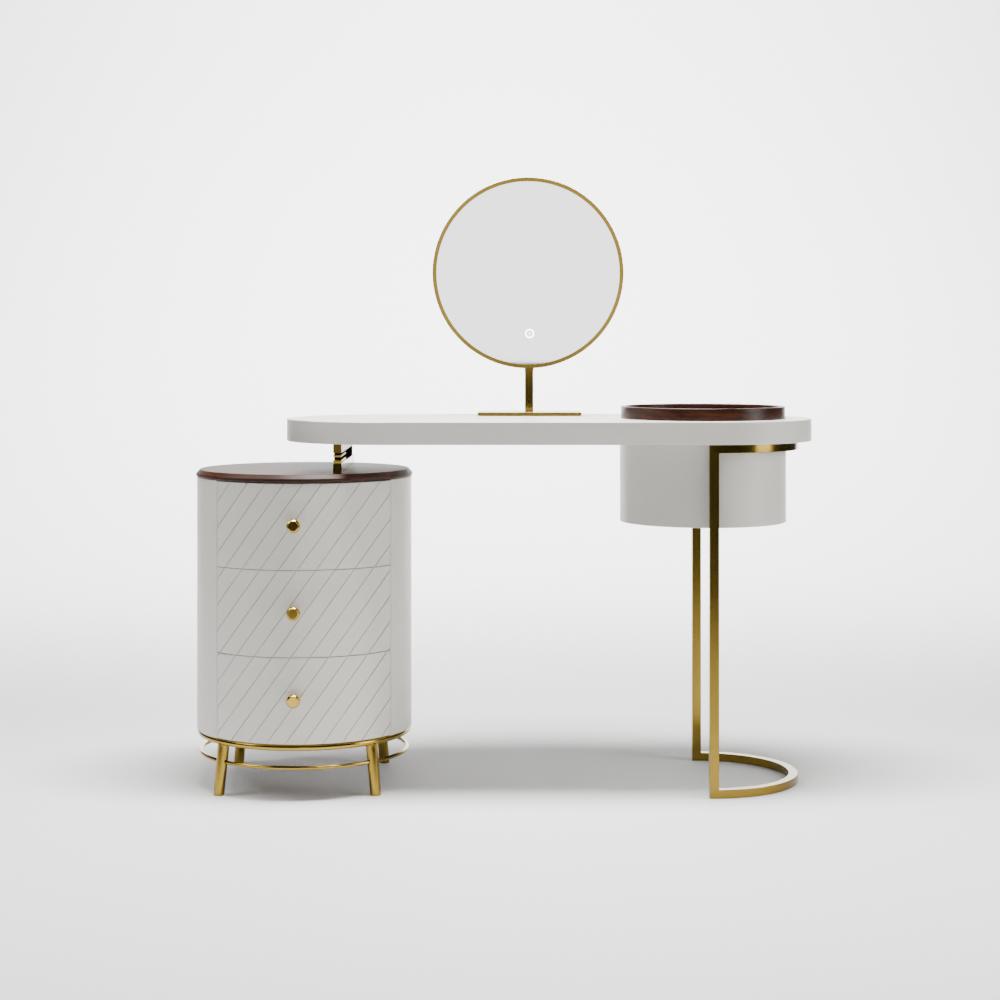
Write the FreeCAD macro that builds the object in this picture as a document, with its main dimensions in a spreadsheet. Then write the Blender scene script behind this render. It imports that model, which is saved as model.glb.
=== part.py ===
"""A vanity table: a round-ended top on a brass hoop frame and a round chest of drawers.

Millimetres, +Z up, front towards -Y, origin on the floor under the middle of the whole object.
The driving dimensions are in the spreadsheet "Sizes"; every sub-part is bound to them.
"""
import FreeCAD
import Part
import Sketcher
import math
import os

from FreeCAD import Placement, Rotation, Vector

doc = FreeCAD.newDocument("VanityTable")
sheet = doc.addObject("Spreadsheet::Sheet", "Sizes")


class Size:
    """A length or angle that carries its value and the spreadsheet expression it comes from."""

    def __init__(self, value, text):
        self.value = float(value)
        self.text = text

    def __add__(self, other):
        return joined(self, "+", other, self.value + number(other))

    def __radd__(self, other):
        return joined(other, "+", self, number(other) + self.value)

    def __sub__(self, other):
        return joined(self, "-", other, self.value - number(other))

    def __rsub__(self, other):
        return joined(other, "-", self, number(other) - self.value)

    def __mul__(self, other):
        return joined(self, "*", other, self.value * number(other))

    def __rmul__(self, other):
        return joined(other, "*", self, number(other) * self.value)

    def __truediv__(self, other):
        return joined(self, "/", other, self.value / number(other))

    def __neg__(self):
        return joined(0, "-", self, -self.value)


def number(size):
    return size.value if isinstance(size, Size) else float(size)


def words(size):
    return size.text if isinstance(size, Size) else f"({float(size):.6f})"


def joined(first, sign, second, value):
    return Size(value, f"({words(first)} {sign} {words(second)})")


def cell(alias, value, meaning):
    """Puts one driving dimension in the sheet and returns it as a Size."""
    row = cell.next_row
    cell.next_row += 1
    sheet.set(f"A{row}", meaning)
    sheet.set(f"B{row}", str(value))
    sheet.setAlias(f"B{row}", alias)
    return Size(value, f"Sizes.{alias}")


cell.next_row = 1

# ---- driving dimensions -------------------------------------------------------------------
top_height = cell("top_height", 750, "floor to the table's surface")
top_thick = cell("top_thick", 45, "thickness of the table top")
top_length = cell("top_length", 1088.8, "length of the table top")
top_radius = cell("top_radius", 220, "radius of its round ends, half its depth")
top_left = cell("top_left", -450, "x of its left end")
edge_round = cell("edge_round", 1.2, "rounding of lacquered edges")

bar = cell("bar_side", 19, "width of the brass bar")
bar_tall = cell("bar_tall", 18, "height of the brass bar in the top hoop")
floor_bar_tall = cell("floor_bar_tall", 17, "height of the brass bar in the floor hoop")
tube_wall = cell("tube_wall", 1.5, "wall of the square tube in the posts")
post_spread = cell("post_spread", 182.5, "middle of the table to the middle of a post")
glide_thick = cell("glide_thick", 0.5, "thickness of the pads under the frame and the legs")

drum_x = cell("drum_x", 414.5, "x of the drum's and the tray's axis")
drum_radius = cell("drum_radius", 172, "outside radius of the storage drum")
drum_wall = cell("drum_wall", 12, "wall of the drum")
drum_bottom = cell("drum_bottom", 536.5, "z of the drum's lower edge")
well_radius = cell("well_radius", 160, "radius of the well cut in the top")
tray_radius = cell("tray_radius", 170, "outside radius of the tray")
tray_height = cell("tray_height", 25, "height of the tray's rim")
tray_wall = cell("tray_wall", 10, "wall of the tray's rim")
tray_floor = cell("tray_floor", 8, "thickness of the tray's floor")

chest_x = cell("chest_x", -414, "x of the chest's axis")
chest_radius = cell("chest_radius", 222, "outside radius of the chest")
chest_wall = cell("chest_wall", 14, "thickness of its bent wall")
chest_bottom = cell("chest_bottom", 113, "z of the chest's lower edge")
chest_top = cell("chest_top", 630, "z of the chest's upper edge")
panel_thick = cell("panel_thick", 15, "thickness of the chest's floor and ceiling")
walnut_radius = cell("walnut_radius", 224, "radius of the walnut top")
walnut_thick = cell("walnut_thick", 16, "thickness of the walnut top")
front_left = cell("front_left", 46.87, "angle from the middle to the fronts' left seam")
front_right = cell("front_right", 56.9, "angle from the middle to the fronts' right seam")
seam = cell("seam", 1.2, "gap round a drawer front")
front_gap = cell("front_gap", 0.6, "gap between a drawer front and the boards behind it")
groove_wide = cell("groove_wide", 2, "width of the slanting grooves in the fronts")
groove_deep = cell("groove_deep", 1.5, "depth of those grooves")
groove_step = cell("groove_step", 37.2, "distance between grooves, measured level")
groove_slope = cell("groove_slope", 54.3, "angle between a groove and the level")
groove_start = cell("groove_start", 11.4, "where a groove would meet the floor, from the axis")
drawer_travel = cell("drawer_travel", 220, "how far a drawer pulls out")

box_half = cell("box_half", 135, "half the width of a drawer box")
box_board = cell("box_board", 10, "thickness of a drawer box's boards")
box_rear = cell("box_rear", 150, "middle of the chest to the back of a drawer box")
box_height = cell("box_height", 118, "height of a drawer box")
runner_gap = cell("runner_gap", 13, "space for a runner beside a drawer box")
runner_half = cell("runner_half", 130, "half the length of a runner")
runner_tall = cell("runner_tall", 35, "height of a runner's channel")

screw_radius = cell("screw_radius", 2.5, "radius of a screw's shank")
screw_hole = cell("screw_hole", 2.8, "radius of the hole it passes through")
screw_head = cell("screw_head", 4.5, "radius of its head")
screw_seat = cell("screw_seat", 5, "radius of the counterbore for its head")

knob_radius = cell("knob_radius", 14, "radius of a knob's head")
knob_reach = cell("knob_reach", 24, "how far a knob stands out")
knob_rise = cell("knob_rise", 3, "how far a knob sits above the middle of its front")

ring_radius = cell("ring_radius", 214.5, "radius of the hoop under the chest, at its middle")
ring_tube = cell("ring_tube", 6.5, "radius of that hoop's tube")
foot_ring_radius = cell("foot_ring_radius", 213, "radius of the low hoop between the legs")
foot_ring_tube = cell("foot_ring_tube", 4, "radius of that hoop's rod")
foot_ring_z = cell("foot_ring_z", 66, "height of that hoop")
leg_top_radius = cell("leg_top_radius", 12, "radius of a leg at its top")
leg_foot_radius = cell("leg_foot_radius", 10.7, "radius of a leg at its foot")
foot_spread = cell("foot_spread", 222.5, "chest's axis to the middle of a foot")
head_spread = cell("head_spread", 210, "chest's axis to the middle of a leg at the hoop")

bracket_x = cell("bracket_x", -332, "x of the bracket on the chest")
bracket_wide = cell("bracket_wide", 17, "width of the bracket's bars")
bracket_recess = cell("bracket_recess", 2, "how far its dark spacer stands back from the bars")
bracket_half = cell("bracket_half", 179, "half the length of the bracket's bars")
rail_tall = cell("rail_tall", 19.5, "height of the bracket's lower bar")
upper_rail_tall = cell("upper_rail_tall", 18, "height of the bracket's upper bar")
band_tall = cell("band_tall", 7.5, "height of the bracket's lower brass band")
rib_tall = cell("rib_tall", 4.5, "height of the bracket's upper brass band")
rib_drop = cell("rib_drop", 3.8, "gap between the upper brass band and the upper bar")

mirror_x = cell("mirror_x", 53, "x of the mirror")
stand_x = cell("stand_x", 55.8, "x of the mirror's post")
mirror_y = cell("mirror_y", 150, "middle of the table to the mirror's front")
mirror_z = cell("mirror_z", 1057.5, "height of the mirror's centre")
mirror_radius = cell("mirror_radius", 206, "outside radius of the mirror's frame")
mirror_deep = cell("mirror_deep", 26, "depth of the mirror's frame")
frame_lip = cell("frame_lip", 8.4, "width of the frame's front lip")
frame_wall = cell("frame_wall", 3, "wall of the frame")
glass_thick = cell("glass_thick", 4, "thickness of the glass")
post_wide = cell("post_wide", 18, "width of the mirror's post")
post_deep = cell("post_deep", 16, "depth of the mirror's post")
plate_long = cell("plate_long", 222, "length of the mirror's base plate")
plate_deep = cell("plate_deep", 100, "depth of the mirror's base plate")
plate_back = cell("plate_back", 34, "middle of the base plate to the post")
plate_thick = cell("plate_thick", 7, "thickness of the mirror's base plate")
pad_thick = cell("pad_thick", 1, "thickness of thin felt pads")
hinge_radius = cell("hinge_radius", 7, "radius of the hinge's lug and ears")
hinge_pin = cell("hinge_pin", 3, "radius of the hinge's pin")
running = cell("running", 0.1, "radial clearance of the hinge pin")

# ---- places worked out from them ----------------------------------------------------------
top_under = top_height - top_thick
frame_x = top_left + top_length - top_radius
middle_y = (knob_reach + chest_radius - walnut_radius) / 2
walnut_face = chest_top + walnut_thick
chest_inner = chest_radius - chest_wall
front_inner = chest_inner + front_gap
runner_x = box_half + runner_gap
pivot_y = mirror_y + mirror_deep + 20
front_tall = (chest_top - chest_bottom) / 3
split_low = chest_bottom + front_tall
split_high = chest_top - front_tall

made = {}
top_screws = []


def bind(item, prop, size):
    """Sets one property to a size, and binds it to the sheet."""
    item.setExpression(prop, words(size))


def place(item, x=0, y=0, z=0, turn=None):
    """Moves an object, with its position bound to the sheet. turn is a Rotation."""
    item.Placement = Placement(Vector(number(x), number(y), number(z)), turn or Rotation())
    for axis, size in (("x", x), ("y", y), ("z", z)):
        if isinstance(size, Size):
            bind(item, f"Placement.Base.{axis}", size)
    return item


def box(name, long, deep, tall, x, y, z, turn=None):
    """A Part box with its lowest corner at x, y, z."""
    item = doc.addObject("Part::Box", name)
    for prop, size in (("Length", long), ("Width", deep), ("Height", tall)):
        bind(item, prop, size)
    return place(item, x, y, z, turn)


def middle_box(name, long, deep, tall, x, y, z):
    """A Part box whose middle is at x, y and whose underside is at z."""
    return box(name, long, deep, tall, x - long / 2, y - deep / 2, z)


def rod(name, radius, tall, x, y, z, turn=None):
    """A Part cylinder that starts at x, y, z and runs along +Z, or along that axis when turned."""
    item = doc.addObject("Part::Cylinder", name)
    bind(item, "Radius", radius)
    bind(item, "Height", tall)
    return place(item, x, y, z, turn)


def torus(name, radius, tube, x, y, z):
    item = doc.addObject("Part::Torus", name)
    bind(item, "Radius1", radius)
    bind(item, "Radius2", tube)
    return place(item, x, y, z)


def cut(name, base, *tools):
    """base less every tool."""
    item = doc.addObject("Part::Cut", name)
    item.Base = base
    item.Tool = tools[0] if len(tools) == 1 else group(name + "_tools", *tools)
    return item


def group(name, *items):
    """Several objects joined into one, or kept as one set of separate solids where they are apart."""
    item = doc.addObject("Part::MultiFuse", name)
    item.Shapes = list(items)
    return item


def common(name, first, second):
    item = doc.addObject("Part::Common", name)
    item.Base = first
    item.Tool = second
    return item


def rounded(name, base, radius, test):
    """base with the edges that pass the test rounded. The test reads an edge."""
    doc.recompute()
    item = doc.addObject("Part::Fillet", name)
    item.Base = base
    size = number(radius)
    item.Edges = [(i + 1, size, size) for i, e in enumerate(base.Shape.Edges) if test(e)]
    return item


def node(name, item):
    """Names a finished sub-part: its label is its file's name."""
    item.Label = name
    made[name] = item
    return item


ALONG_X = Rotation(Vector(0, 1, 0), 90)
TO_FRONT = Rotation(Vector(1, 0, 0), 90)


def sketch_on(body, role):
    """A sketch on one of the body's own origin planes."""
    plane = next(f for f in body.Origin.OriginFeatures if f.Role == role)
    sketch = body.newObject("Sketcher::SketchObject", body.Name + "Sketch")
    sketch.AttachmentSupport = [(plane, "")]
    sketch.MapMode = "FlatFace"
    return sketch


def pin_point(sketch, geometry, end, x, y):
    """Ties one point of a sketch to its place, both ways, with the distances bound to the sheet."""
    for kind, size in (("DistanceX", x), ("DistanceY", y)):
        index = sketch.addConstraint(Sketcher.Constraint(kind, -1, 1, geometry, end, number(size)))
        if isinstance(size, Size):
            sketch.setExpression(f"Constraints[{index}]", size.text)


def outline(sketch, corners):
    """A closed outline of straight lines through the corners."""
    count = len(corners)
    points = [Vector(number(x), number(y), 0) for x, y in corners]
    for i in range(count):
        sketch.addGeometry(Part.LineSegment(points[i], points[(i + 1) % count]), False)
    for i, (x, y) in enumerate(corners):
        sketch.addConstraint(Sketcher.Constraint("Coincident", i, 2, (i + 1) % count, 1))
        pin_point(sketch, i, 1, x, y)


def turned(name, profile, x, y, z, turn=None):
    """A body turned about its own Z axis from a profile of (radius, height) corners."""
    body = doc.addObject("PartDesign::Body", name)
    sketch = sketch_on(body, "XZ_Plane")
    outline(sketch, profile)
    spin = body.newObject("PartDesign::Revolution", name + "Spin")
    spin.Profile = sketch
    spin.ReferenceAxis = (sketch, ["V_Axis"])
    spin.Angle = 360
    return place(body, x, y, z, turn)


def round_edges(body, radius, test):
    """Rounds the edges of a body that pass the test, as its last feature."""
    doc.recompute()
    base = body.Tip
    names = [f"Edge{i + 1}" for i, e in enumerate(base.Shape.Edges) if test(e)]
    fillet = body.newObject("PartDesign::Fillet", body.Name + "Round")
    fillet.Base = (base, names)
    bind(fillet, "Radius", radius)
    return body


def padded(name, tall, x, y, z, draw):
    """A body padded up from a sketch that draw() fills."""
    body = doc.addObject("PartDesign::Body", name)
    sketch = sketch_on(body, "XY_Plane")
    draw(sketch)
    pad = body.newObject("PartDesign::Pad", name + "Pad")
    pad.Profile = sketch
    bind(pad, "Length", tall)
    return place(body, x, y, z)


def ring_path(sketch, radius, start, end):
    """Adds an arc about the sketch's origin, with its radius bound, and gives its number."""
    circle = Part.Circle(Vector(0, 0, 0), Vector(0, 0, 1), number(radius))
    arc = sketch.addGeometry(Part.ArcOfCircle(circle, math.radians(start), math.radians(end)), False)
    sketch.addConstraint(Sketcher.Constraint("Coincident", arc, 3, -1, 1))
    index = sketch.addConstraint(Sketcher.Constraint("Radius", arc, number(radius)))
    if isinstance(radius, Size):
        sketch.setExpression(f"Constraints[{index}]", radius.text)
    return arc


def line_between(sketch, first, first_end, second, second_end):
    """Adds a straight line between the ends of two pieces of geometry."""
    a = sketch.getPoint(first, first_end)
    b = sketch.getPoint(second, second_end)
    line = sketch.addGeometry(Part.LineSegment(a, b), False)
    sketch.addConstraint(Sketcher.Constraint("Coincident", line, 1, first, first_end))
    sketch.addConstraint(Sketcher.Constraint("Coincident", line, 2, second, second_end))
    return line


def sector(outer, inner, start, end):
    """Draws a ring's sector between two angles in degrees from +X."""

    def draw(sketch):
        out = ring_path(sketch, outer, start, end)
        into = ring_path(sketch, inner, start, end)
        line_between(sketch, out, 1, into, 1)
        line_between(sketch, out, 2, into, 2)

    return draw


# ---- table top ----------------------------------------------------------------------------
def stadium(sketch):
    """Two half circles joined by straight sides; the right one is centred on the origin."""
    straight = top_length - top_radius * 2
    right = ring_path(sketch, top_radius, -90, 90)
    circle = Part.Circle(Vector(-straight.value, 0, 0), Vector(0, 0, 1), top_radius.value)
    left = sketch.addGeometry(Part.ArcOfCircle(circle, math.radians(90), math.radians(270)), False)
    pin_point(sketch, left, 3, -straight, 0)
    sketch.addConstraint(Sketcher.Constraint("Equal", right, left))
    for arc in (right, left):
        sketch.addConstraint(Sketcher.Constraint("Vertical", arc, 3, arc, 1))
        sketch.addConstraint(Sketcher.Constraint("Vertical", arc, 3, arc, 2))
    line_between(sketch, right, 2, left, 1)
    line_between(sketch, left, 2, right, 1)


def build_top():
    slab = padded("Slab", top_thick, frame_x, middle_y, top_under, stadium)
    well = slab.newObject("Sketcher::SketchObject", "WellSketch")
    plane = next(f for f in slab.Origin.OriginFeatures if f.Role == "XY_Plane")
    well.AttachmentSupport = [(plane, "")]
    well.MapMode = "FlatFace"
    centre = drum_x - frame_x
    circle = well.addGeometry(
        Part.Circle(Vector(centre.value, 0, 0), Vector(0, 0, 1), well_radius.value), False
    )
    pin_point(well, circle, 3, centre, 0)
    index = well.addConstraint(Sketcher.Constraint("Radius", circle, well_radius.value))
    well.setExpression(f"Constraints[{index}]", well_radius.text)
    pocket = slab.newObject("PartDesign::Pocket", "Well")
    pocket.Profile = well
    pocket.Reversed = True
    bind(pocket, "Length", top_thick)
    round_edges(slab, edge_round, lambda e: on_rim(e, top_radius.value, top_thick.value))
    node("table_top", slab)


def on_rim(edge, radius, tall):
    """An edge of the slab's outside, at its top or its underside."""
    low, high = edge.BoundBox.ZMin, edge.BoundBox.ZMax
    level = abs(high - low) < 1e-6 and min(abs(high), abs(high - tall)) < 1e-6
    reach = max(abs(edge.BoundBox.YMin), abs(edge.BoundBox.YMax))
    return level and reach > radius - 1e-3


# ---- brass hoop frame ---------------------------------------------------------------------
def hoop(sketch):
    """A half ring of square bar whose ends run on under the posts."""
    half = bar / 2
    outer = ring_path(sketch, post_spread + half, -90, 90)
    inner = ring_path(sketch, post_spread - half, -90, 90)
    for end, sign in ((1, -1), (2, 1)):
        far = sketch.addGeometry(
            Part.LineSegment(
                Vector(0, sign * (post_spread + half).value, 0),
                Vector(-half.value, sign * (post_spread + half).value, 0),
            ),
            False,
        )
        near = sketch.addGeometry(
            Part.LineSegment(
                Vector(0, sign * (post_spread - half).value, 0),
                Vector(-half.value, sign * (post_spread - half).value, 0),
            ),
            False,
        )
        sketch.addConstraint(Sketcher.Constraint("Coincident", far, 1, outer, end))
        sketch.addConstraint(Sketcher.Constraint("Coincident", near, 1, inner, end))
        pin_point(sketch, far, 2, -half, (post_spread + half) * sign)
        pin_point(sketch, near, 2, -half, (post_spread - half) * sign)
        line_between(sketch, far, 2, near, 2)


def build_frame():
    node("floor_hoop", padded("FloorHoop", floor_bar_tall, frame_x, middle_y, glide_thick, hoop))
    screw_angles = (-75, -37.5, 0, 37.5, 75)
    top_hoop = padded("TopHoop", bar_tall, frame_x, middle_y, top_under - bar_tall, hoop)
    screws, holes = [], []
    for i, angle in enumerate(screw_angles):
        x = frame_x + post_spread * math.cos(math.radians(angle))
        y = middle_y + post_spread * math.sin(math.radians(angle))
        start = top_under - bar_tall
        shank = rod(f"FrameScrewShank{i}", screw_radius, bar_tall + 20, x, y, start + 0.5)
        head = rod(f"FrameScrewHead{i}", screw_head, 4, x, y, start + 0.5)
        screws.append(group(f"FrameScrew{i}", shank, head))
        hole = rod(f"FrameHole{i}", screw_hole, bar_tall, x, y, start)
        seat = rod(f"FrameSeat{i}", screw_seat, 4.5, x, y, start)
        holes.append(group(f"FrameBore{i}", hole, seat))
    node("top_hoop", cut("TopHoopDrilled", top_hoop, *holes))
    top_screws.extend(screws)
    post_foot = glide_thick + floor_bar_tall
    for name, side in (("front_post", -1), ("rear_post", 1)):
        y = middle_y + post_spread * side
        tall = top_under - bar_tall - post_foot
        outside = middle_box("Post_" + name, bar, bar, tall, frame_x, y, post_foot)
        hollow = bar - tube_wall * 2
        inside = middle_box("Hollow_" + name, hollow, hollow, tall, frame_x, y, post_foot)
        node(name, cut("Tube_" + name, outside, inside))
    pads = []
    for i, angle in enumerate((-88, -45, 0, 45, 88)):
        x = frame_x + post_spread * math.cos(math.radians(angle))
        y = middle_y + post_spread * math.sin(math.radians(angle))
        pads.append(rod(f"FrameGlide{i}", 7, glide_thick, x, y, 0))
    node("frame_glides", group("FrameGlides", *pads))


# ---- storage drum and tray ----------------------------------------------------------------
def build_drum():
    tall = top_under - drum_bottom
    inner = drum_radius - drum_wall
    wall = turned(
        "DrumWall",
        [(inner, 0), (drum_radius, 0), (drum_radius, tall), (inner, tall)],
        drum_x, middle_y, drum_bottom,
    )
    node("drum_wall", round_edges(wall, edge_round, is_lower_rim))
    node("drum_floor", rod("DrumFloor", inner, drum_wall, drum_x, middle_y, drum_bottom + 4))
    dowels = []
    for i in range(6):
        angle = math.radians(30 + 60 * i)
        reach = drum_radius - drum_wall / 2
        x = drum_x + reach * math.cos(angle)
        y = middle_y + reach * math.sin(angle)
        dowels.append(rod(f"DrumDowel{i}", 3, 30, x, y, top_under - 15))
    node("drum_dowels", group("DrumDowels", *dowels))


def is_lower_rim(edge):
    """The drum's outside edge at its foot."""
    return edge.BoundBox.ZMax < 1e-6 and edge.BoundBox.XMax > drum_radius.value - 1e-3


def build_tray():
    rim = turned(
        "TrayRim",
        [
            (tray_radius - tray_wall, 0),
            (tray_radius, 0),
            (tray_radius, tray_height),
            (tray_radius - tray_wall, tray_height),
        ],
        drum_x, middle_y, top_height,
    )
    node("tray_rim", round_edges(rim, 2, lambda e: e.BoundBox.ZMin > tray_height.value - 1e-6))
    inner = tray_radius - tray_wall
    spigot = well_radius - 1.5
    node(
        "tray_floor",
        turned(
            "TrayFloor",
            [
                (0, 10), (spigot - 7, 10), (spigot - 7, 0), (spigot, 0),
                (spigot, 10), (inner, 10), (inner, tray_floor + 10), (0, tray_floor + 10),
            ],
            drum_x, middle_y, top_height - 10,
        ),
    )


# ---- bracket between the table top and the chest --------------------------------------------
def build_bracket():
    long = bracket_half * 2
    upper_z = top_under - upper_rail_tall
    lower_top = walnut_face + rail_tall
    upper = middle_box(
        "UpperBar", bracket_wide, long, upper_rail_tall, bracket_x, middle_y, upper_z
    )
    screws, holes = [], []
    for i, share in enumerate((-0.85, 0.05, 0.75)):
        y = middle_y + bracket_half * share
        shank = rod(
            f"BracketScrewShank{i}", screw_radius, upper_rail_tall + 18, bracket_x, y, upper_z + 0.5
        )
        head = rod(f"BracketScrewHead{i}", screw_head, 3.5, bracket_x, y, upper_z + 0.5)
        screws.append(group(f"BracketScrew{i}", shank, head))
        hole = rod(f"BracketHole{i}", screw_hole, upper_rail_tall, bracket_x, y, upper_z)
        seat = rod(f"BracketSeat{i}", screw_seat, 4, bracket_x, y, upper_z)
        holes.append(group(f"BracketBore{i}", hole, seat))
    node("bracket_upper_bar", cut("UpperBarDrilled", upper, *holes))
    top_screws.extend(screws)
    node("top_screws", group("TopScrews", *top_screws))
    lower = middle_box("LowerBar", bracket_wide, long, rail_tall, bracket_x, middle_y, walnut_face)
    node("bracket_lower_bar", lower)
    front_end = middle_y - bracket_half
    band_long, block_long = 118, 206
    left = bracket_x - bracket_wide / 2
    rib_z = upper_z - rib_drop - rib_tall
    bands = [
        box("SpacerBand", bracket_wide, band_long, band_tall, left, front_end, lower_top),
        box("SpacerRib", bracket_wide, band_long, rib_tall, left, front_end, rib_z),
    ]
    node("bracket_bands", group("Bands", *bands))
    slim = bracket_wide - bracket_recess * 2
    slim_left = left + bracket_recess
    block_start = front_end + band_long
    plate_long = block_start - front_end - bracket_recess
    plate_start = front_end + bracket_recess
    band_top = lower_top + band_tall
    rib_top = rib_z + rib_tall
    dark = [
        box("SpacerBlock", slim, block_long, upper_z - lower_top, slim_left, block_start, lower_top),
        box("SpacerPlateLow", slim, plate_long, rib_z - band_top, slim_left, plate_start, band_top),
        box("SpacerPlateHigh", slim, plate_long, upper_z - rib_top, slim_left, plate_start, rib_top),
    ]
    node("bracket_spacer", group("Spacer", *dark))


# ---- chest of drawers: carcass ------------------------------------------------------------
def build_carcass():
    tall = chest_top - chest_bottom
    start = -90 + front_right.value
    end = 270 - front_left.value
    shell = padded(
        "ChestShell", tall, chest_x, middle_y, chest_bottom,
        sector(chest_radius, chest_inner, start, end),
    )
    node("chest_shell", shell)
    node("chest_floor", rod("ChestFloor", chest_inner, panel_thick, chest_x, middle_y, chest_bottom))
    node(
        "chest_ceiling",
        rod("ChestCeiling", chest_inner, panel_thick, chest_x, middle_y, chest_top - panel_thick),
    )
    bevel = 8
    node(
        "walnut_top",
        round_edges(
            turned(
                "WalnutTop",
                [
                    (0, 0), (walnut_radius - 3, 0), (walnut_radius, 3), (walnut_radius, 7.5),
                    (walnut_radius - bevel, walnut_thick), (0, walnut_thick),
                ],
                chest_x, middle_y, chest_top,
            ),
            2.5,
            is_walnut_rim,
        ),
    )
    inside = chest_top - panel_thick - chest_bottom - panel_thick
    panels = [
        middle_box(
            f"RunnerPanel{side}", 10, runner_half * 2, inside,
            chest_x + (runner_x + 5) * side, middle_y, chest_bottom + panel_thick,
        )
        for side in (-1, 1)
    ]
    node("runner_panels", group("RunnerPanels", *panels))
    boards = []
    for i, split in enumerate((split_low, split_high)):
        board = middle_box(f"DustBoard{i}", runner_x * 2, 390, 8, chest_x, middle_y - 20, split - 4)
        limit = rod(f"DustLimit{i}", chest_inner - 1.5, 8, chest_x, middle_y, split - 4)
        boards.append(common(f"DustBoardTrimmed{i}", board, limit))
    node("dust_boards", group("DustBoards", *boards))
    bearers = [
        channel(f"Channel{i}{side}", side, z)
        for i, z in enumerate(runner_heights())
        for side in (-1, 1)
    ]
    node("runner_channels", group("RunnerChannels", *bearers))


def is_walnut_rim(edge):
    """One of the walnut top's outside edges, above its underside and below its face."""
    level = edge.BoundBox.ZLength < 1e-6
    return level and edge.BoundBox.XLength > 10 and 2.9 < edge.BoundBox.ZMax < walnut_thick.value - 0.1


def front_spans():
    """Lower and upper edge of each drawer front, from the bottom drawer up."""
    half = seam / 2
    return (
        (chest_bottom + 1, split_low - half),
        (split_low + half, split_high - half),
        (split_high + half, chest_top - seam),
    )


def box_foot(span):
    """z of a drawer box's underside."""
    return span[0] + 22


def runner_heights():
    return [box_foot(span) + 60 for span in front_spans()]


def channel(name, side, z):
    """The fixed member of a runner: a C channel that opens towards the drawer."""
    skin = 1.2
    wide = runner_gap - 2
    outer_x = chest_x + (runner_x - wide / 2) * side
    outer = middle_box(name + "Outer", wide, runner_half * 2, runner_tall, outer_x, middle_y, z - runner_tall / 2)
    hollow_x = chest_x + (runner_x - wide / 2 - skin) * side
    hollow = middle_box(
        name + "Hollow", wide, runner_half * 2 + 2, runner_tall - skin * 2,
        hollow_x, middle_y, z - runner_tall / 2 + skin,
    )
    return cut(name, outer, hollow)


# ---- chest of drawers: drawers ------------------------------------------------------------
def groove_lines(name, low, high):
    """Slanting slabs that cross the front between low and high, kept to the depth of a groove."""
    slope = math.radians(groove_slope.value)
    level_wide = groove_wide / math.sin(slope)
    reach = (high - low).value / math.sin(slope) + 20
    slabs = []
    for k in range(-6, 12):
        foot = groove_start - groove_step * k + low / math.tan(slope)
        head = number(foot) + (high - low).value / math.tan(slope)
        if head < -200 or number(foot) > 200:
            continue
        slab = box(
            f"Groove_{name}{k + 6}", reach, 240, groove_wide,
            chest_x + foot - level_wide / 2 - 10 * math.cos(slope), middle_y - 240,
            low - 10 * math.sin(slope), Rotation(Vector(0, 1, 0), -groove_slope.value),
        )
        slabs.append(slab)
    floor = rod(
        f"GrooveFloor_{name}", chest_radius - groove_deep, front_tall + 80, chest_x, middle_y, low - 40
    )
    return cut(f"Grooves_{name}", group(f"GrooveSlabs_{name}", *slabs), floor)


def build_drawer(name, span, runner_z):
    low, high = span
    gap_angle = math.degrees(seam.value / chest_radius.value)
    start = -90 - front_left.value + gap_angle
    end = -90 + front_right.value - gap_angle
    front = padded(
        f"Front_{name}", high - low, chest_x, middle_y, low,
        sector(chest_radius, front_inner, start, end),
    )
    knob_z = (low + high) / 2 + knob_rise
    stud_hole = rod(f"StudHole_{name}", 2.5, 60, chest_x, middle_y - 190, knob_z, TO_FRONT)
    node(
        f"{name}_drawer_front",
        cut(f"FrontCut_{name}", front, stud_hole, groove_lines(name, low, high)),
    )
    foot = box_foot(span)
    long = box_rear + 210
    limit = rod(f"BoxLimit_{name}", front_inner, box_height, chest_x, middle_y, foot)
    outer = box(f"BoxOuter_{name}", box_half * 2, long, box_height, chest_x - box_half, middle_y - 210, foot)
    inner = box(
        f"BoxInner_{name}", (box_half - box_board) * 2, long - box_board, box_height,
        chest_x - box_half + box_board, middle_y - 210, foot,
    )
    walls = cut(f"BoxWalls_{name}", outer, inner)
    node(f"{name}_drawer_walls", common(f"BoxTrimmed_{name}", walls, limit))
    base_limit = rod(f"BaseLimit_{name}", front_inner, 6, chest_x, middle_y, foot)
    base = box(
        f"BaseOuter_{name}", (box_half - box_board) * 2, long - box_board, 6,
        chest_x - box_half + box_board, middle_y - 210, foot,
    )
    node(f"{name}_drawer_bottom", common(f"BaseTrimmed_{name}", base, base_limit))
    slide_wide = runner_gap - 4
    slides = [
        middle_box(
            f"Slide_{name}{side}", slide_wide, runner_half * 2, 22,
            chest_x + (box_half + slide_wide / 2) * side, middle_y, runner_z - 11,
        )
        for side in (-1, 1)
    ]
    node(f"{name}_drawer_runners", group(f"Slides_{name}", *slides))
    node(f"{name}_drawer_knob", build_knob(name, knob_z))


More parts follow.
